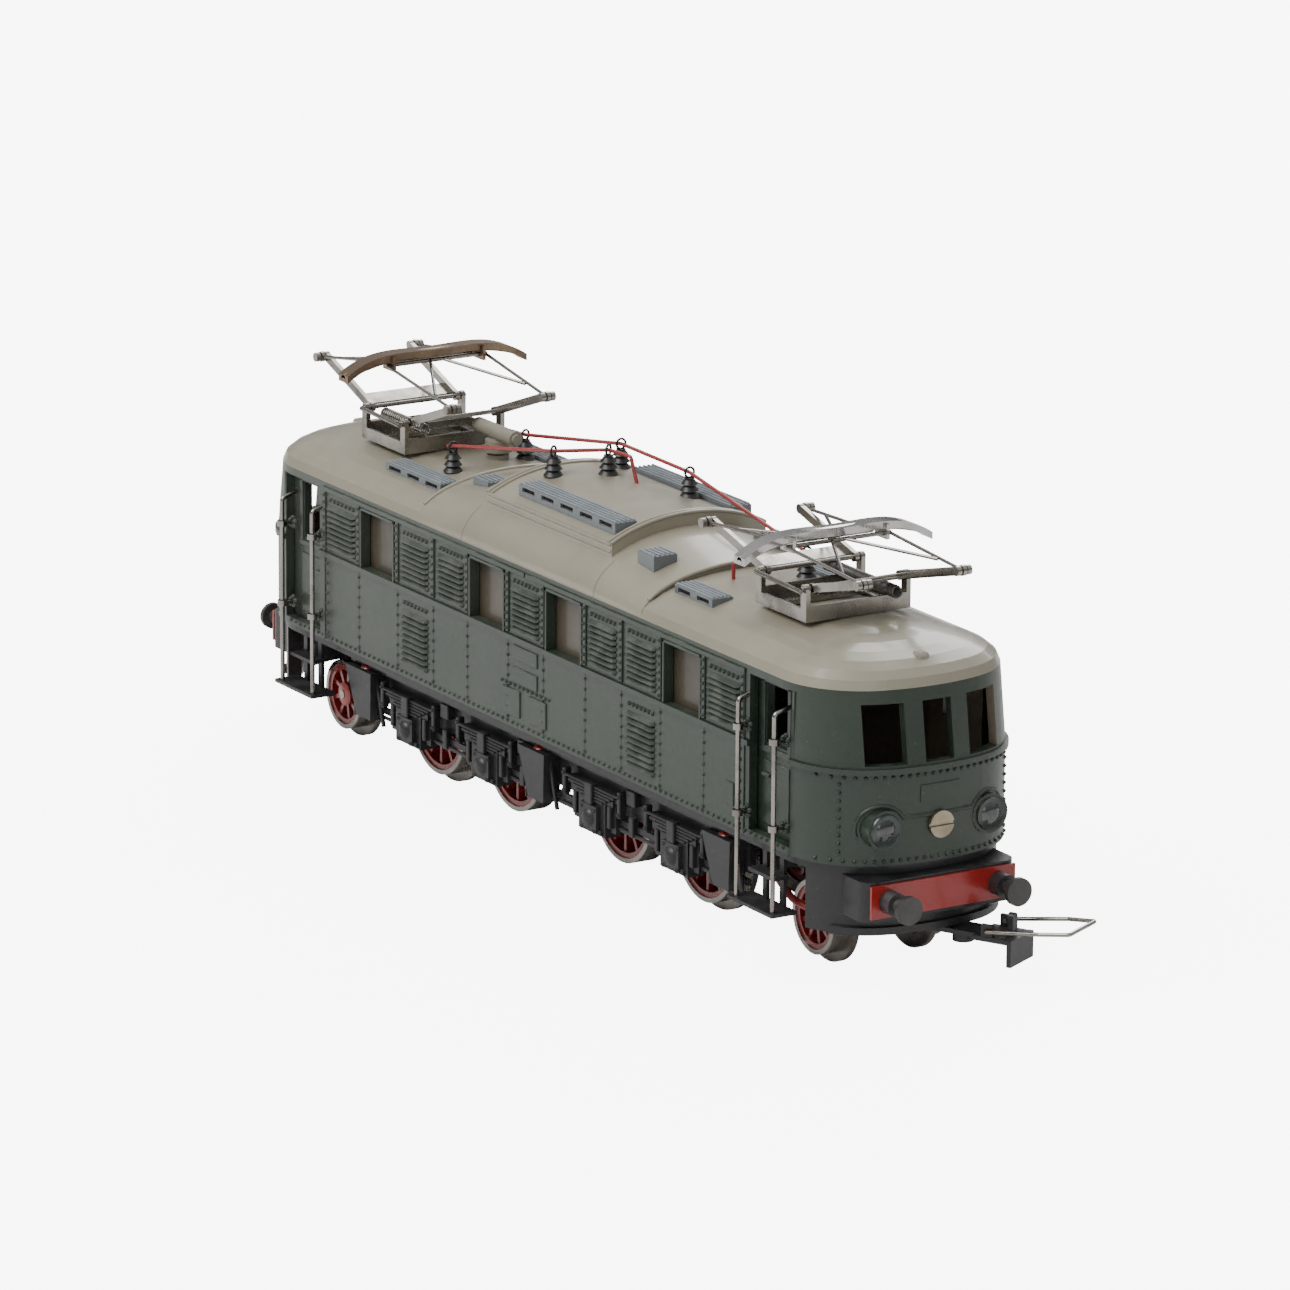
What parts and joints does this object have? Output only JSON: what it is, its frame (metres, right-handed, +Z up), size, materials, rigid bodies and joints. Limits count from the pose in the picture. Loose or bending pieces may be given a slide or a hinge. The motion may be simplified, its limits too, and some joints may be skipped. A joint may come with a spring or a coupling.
{
  "type": "model electric locomotive",
  "caption": "H0 model electric locomotive: cast green body and beige roof on a black geared chassis, with pony trucks, hook couplers and two folding pantographs",
  "frame": {"origin": "middle of the length and width, at the bottoms of the wheel flanges, where the model stands", "axes": "+X is the front end, +Y the left side, +Z up"},
  "size_m": [0.2302, 0.0434, 0.0705],
  "materials": {
    "body_green": "satin",
    "roof_beige": "satin",
    "vent_grey": "satin",
    "frame_black": "satin",
    "beam_red": "gloss",
    "wire_red": "gloss",
    "lead_red": "satin",
    "insulator_black": "gloss",
    "breaker_grey": "satin",
    "nickel": "polished",
    "steel": "brushed",
    "bow_bronze": "worn",
    "wheel_red": "satin",
    "lens": "clear",
    "bulb": "clear",
    "screw": "worn",
    "iron": "matte",
    "gear_brass": "machined",
    "board": "matte"
  },
  "bodies": {
    "locomotive": {"body_casting": "body_green", "roof_casting": "roof_beige", "roof_vents": "vent_grey", "roof_insulators": "insulator_black", "roof_busbars": "wire_red", "main_breaker": "breaker_grey", "handrails": "nickel", "cab_steps": "frame_black", "headlamp_lenses": "lens", "lamp_bulbs": "bulb", "body_screws": "screw", "chassis_frame": "frame_black", "side_frames": "frame_black", "pilots": "frame_black", "buffer_beams": "beam_red", "buffers": "steel", "lamp_lead": "lead_red", "motor_field": "iron", "brush_gear": "board", "reversing_relay": "iron", "panto_springs": "steel", "panto_base_front": "nickel", "panto_base_rear": "nickel"},
    "drive_set_1": {"drive_wheels_1": "wheel_red", "drive_tyres_1": "steel", "drive_axle_1": "steel"},
    "drive_set_2": {"drive_wheels_2": "wheel_red", "drive_tyres_2": "steel", "drive_axle_2": "steel"},
    "drive_set_3": {"drive_wheels_3": "wheel_red", "drive_tyres_3": "steel", "drive_axle_3": "steel"},
    "drive_set_4": {"drive_wheels_4": "wheel_red", "drive_tyres_4": "steel", "drive_axle_4": "steel"},
    "idler_front": {"idler_gear_front": "gear_brass"},
    "idler_rear": {"idler_gear_rear": "gear_brass"},
    "centre_gear": {"centre_gear": "gear_brass"},
    "armature": {"armature": "iron"},
    "pony_front": {"pony_truck_front": "frame_black"},
    "pony_set_front": {"pony_wheels_front": "wheel_red", "pony_axle_front": "steel"},
    "pony_rear": {"pony_truck_rear": "frame_black"},
    "pony_set_rear": {"pony_wheels_rear": "wheel_red", "pony_axle_rear": "steel"},
    "pickup_shoe": {"pickup_shoe": "steel"},
    "coupler_front": {"coupler_front": "frame_black"},
    "bail_front": {"coupler_bail_front": "nickel"},
    "coupler_rear": {"coupler_rear": "frame_black"},
    "bail_rear": {"coupler_bail_rear": "nickel"},
    "lower_front_a": {"panto_lower_front_a": "nickel"},
    "upper_front_a": {"panto_upper_front_a": "nickel"},
    "lower_front_b": {"panto_lower_front_b": "nickel"},
    "upper_front_b": {"panto_upper_front_b": "nickel"},
    "bow_front": {"panto_bow_front": "nickel"},
    "lower_rear_a": {"panto_lower_rear_a": "nickel"},
    "upper_rear_a": {"panto_upper_rear_a": "nickel"},
    "lower_rear_b": {"panto_lower_rear_b": "nickel"},
    "upper_rear_b": {"panto_upper_rear_b": "nickel"},
    "bow_rear": {"panto_bow_rear": "bow_bronze"}
  },
  "joints": [
    {"name": "drive_spin_1", "type": "hinge", "parent": "locomotive", "child": "drive_set_1", "pos_m": [0.043, 0, 0.01073], "axis": [0, 1, 0], "continuous": true},
    {"name": "drive_spin_2", "type": "hinge", "parent": "locomotive", "child": "drive_set_2", "pos_m": [0.0174, 0, 0.01073], "axis": [0, 1, 0], "continuous": true},
    {"name": "drive_spin_3", "type": "hinge", "parent": "locomotive", "child": "drive_set_3", "pos_m": [-0.0174, 0, 0.01073], "axis": [0, 1, 0], "continuous": true},
    {"name": "drive_spin_4", "type": "hinge", "parent": "locomotive", "child": "drive_set_4", "pos_m": [-0.043, 0, 0.01073], "axis": [0, 1, 0], "continuous": true},
    {"name": "idler_spin_front", "type": "hinge", "parent": "locomotive", "child": "idler_front", "pos_m": [0.0302, -0.006, 0.01073], "axis": [0, 1, 0], "continuous": true},
    {"name": "idler_spin_rear", "type": "hinge", "parent": "locomotive", "child": "idler_rear", "pos_m": [-0.0302, -0.006, 0.01073], "axis": [0, 1, 0], "continuous": true},
    {"name": "centre_gear_spin", "type": "hinge", "parent": "locomotive", "child": "centre_gear", "pos_m": [0, -0.006, 0.01885], "axis": [0, 1, 0], "continuous": true},
    {"name": "armature_spin", "type": "hinge", "parent": "locomotive", "child": "armature", "pos_m": [0, 0, 0.03305], "axis": [0, 1, 0], "continuous": true},
    {"name": "pony_swivel_front", "type": "hinge", "parent": "locomotive", "child": "pony_front", "pos_m": [0.057, 0, 0.0116], "axis": [0, 0, 1], "range_deg": [-4, 4]},
    {"name": "pony_spin_front", "type": "hinge", "parent": "pony_front", "child": "pony_set_front", "pos_m": [0.0757, 0, 0.0076], "axis": [0, 1, 0], "continuous": true},
    {"name": "pony_swivel_rear", "type": "hinge", "parent": "locomotive", "child": "pony_rear", "pos_m": [-0.057, 0, 0.0116], "axis": [0, 0, 1], "range_deg": [-4, 4]},
    {"name": "pony_spin_rear", "type": "hinge", "parent": "pony_rear", "child": "pony_set_rear", "pos_m": [-0.0757, 0, 0.0076], "axis": [0, 1, 0], "continuous": true},
    {"name": "shoe_travel", "type": "slide", "parent": "locomotive", "child": "pickup_shoe", "axis": [0, 0, 1], "range_m": [0, 0.0022], "stiffness_N_per_m": 12, "springref_m": -0.002},
    {"name": "coupler_swing_front", "type": "hinge", "parent": "locomotive", "child": "coupler_front", "pos_m": [0.0846, 0, 0.0083], "axis": [0, 0, 1], "range_deg": [-56, 0]},
    {"name": "bail_lift_front", "type": "hinge", "parent": "coupler_front", "child": "bail_front", "pos_m": [0.09961, 0.00798, 0.0097], "axis": [-0.4695, 0.8829, 0], "range_deg": [-50, 0]},
    {"name": "coupler_swing_rear", "type": "hinge", "parent": "locomotive", "child": "coupler_rear", "pos_m": [-0.0846, 0, 0.0083], "axis": [0, 0, 1], "range_deg": [0, 56]},
    {"name": "bail_lift_rear", "type": "hinge", "parent": "coupler_rear", "child": "bail_rear", "pos_m": [-0.09961, 0.00798, 0.0097], "axis": [0.4695, 0.8829, 0], "range_deg": [0, 50]},
    {"name": "panto_front_lower_a", "type": "hinge", "parent": "locomotive", "child": "lower_front_a", "pos_m": [0.07, 0, 0.0596], "axis": [0, -1, 0], "range_deg": [0, 45]},
    {"name": "panto_front_lower_b", "type": "hinge", "parent": "locomotive", "child": "lower_front_b", "pos_m": [0.0568, 0, 0.0596], "axis": [0, 1, 0], "range_deg": [0, 45]},
    {"name": "panto_front_upper_a", "type": "hinge", "parent": "lower_front_a", "child": "upper_front_a", "pos_m": [0.08624, 0, 0.06392], "axis": [0, -1, 0], "range_deg": [-90, 0]},
    {"name": "panto_front_upper_b", "type": "hinge", "parent": "lower_front_b", "child": "upper_front_b", "pos_m": [0.04056, 0, 0.06392], "axis": [0, 1, 0], "range_deg": [-90, 0]},
    {"name": "panto_front_bow", "type": "hinge", "parent": "upper_front_a", "child": "bow_front", "pos_m": [0.06463, 0, 0.0652], "axis": [0, -1, 0], "range_deg": [0, 45]},
    {"name": "panto_rear_lower_a", "type": "hinge", "parent": "locomotive", "child": "lower_rear_a", "pos_m": [-0.0568, 0, 0.0596], "axis": [0, -1, 0], "range_deg": [0, 40]},
    {"name": "panto_rear_lower_b", "type": "hinge", "parent": "locomotive", "child": "lower_rear_b", "pos_m": [-0.07, 0, 0.0596], "axis": [0, 1, 0], "range_deg": [0, 40]},
    {"name": "panto_rear_upper_a", "type": "hinge", "parent": "lower_rear_a", "child": "upper_rear_a", "pos_m": [-0.041, 0, 0.06532], "axis": [0, -1, 0], "range_deg": [-80, 0]},
    {"name": "panto_rear_upper_b", "type": "hinge", "parent": "lower_rear_b", "child": "upper_rear_b", "pos_m": [-0.0858, 0, 0.06532], "axis": [0, 1, 0], "range_deg": [-80, 0]},
    {"name": "panto_rear_bow", "type": "hinge", "parent": "upper_rear_a", "child": "bow_rear", "pos_m": [-0.06241, 0, 0.06848], "axis": [0, -1, 0], "range_deg": [0, 40]}
  ],
  "couplings": [
    {"joint": "drive_spin_2", "follows": "drive_spin_1", "ratio": 1},
    {"joint": "drive_spin_3", "follows": "drive_spin_1", "ratio": 1},
    {"joint": "drive_spin_4", "follows": "drive_spin_1", "ratio": 1},
    {"joint": "idler_spin_front", "follows": "drive_spin_1", "ratio": -1.2857},
    {"joint": "idler_spin_rear", "follows": "drive_spin_1", "ratio": -1.2857},
    {"joint": "centre_gear_spin", "follows": "drive_spin_1", "ratio": -0.6},
    {"joint": "armature_spin", "follows": "drive_spin_1", "ratio": 3.2727},
    {"joint": "panto_front_lower_b", "follows": "panto_front_lower_a", "ratio": 1},
    {"joint": "panto_front_upper_a", "follows": "panto_front_lower_a", "ratio": -2},
    {"joint": "panto_front_upper_b", "follows": "panto_front_lower_a", "ratio": -2},
    {"joint": "panto_front_bow", "follows": "panto_front_lower_a", "ratio": 1},
    {"joint": "panto_rear_lower_b", "follows": "panto_rear_lower_a", "ratio": 1},
    {"joint": "panto_rear_upper_a", "follows": "panto_rear_lower_a", "ratio": -2},
    {"joint": "panto_rear_upper_b", "follows": "panto_rear_lower_a", "ratio": -2},
    {"joint": "panto_rear_bow", "follows": "panto_rear_lower_a", "ratio": 1}
  ]
}
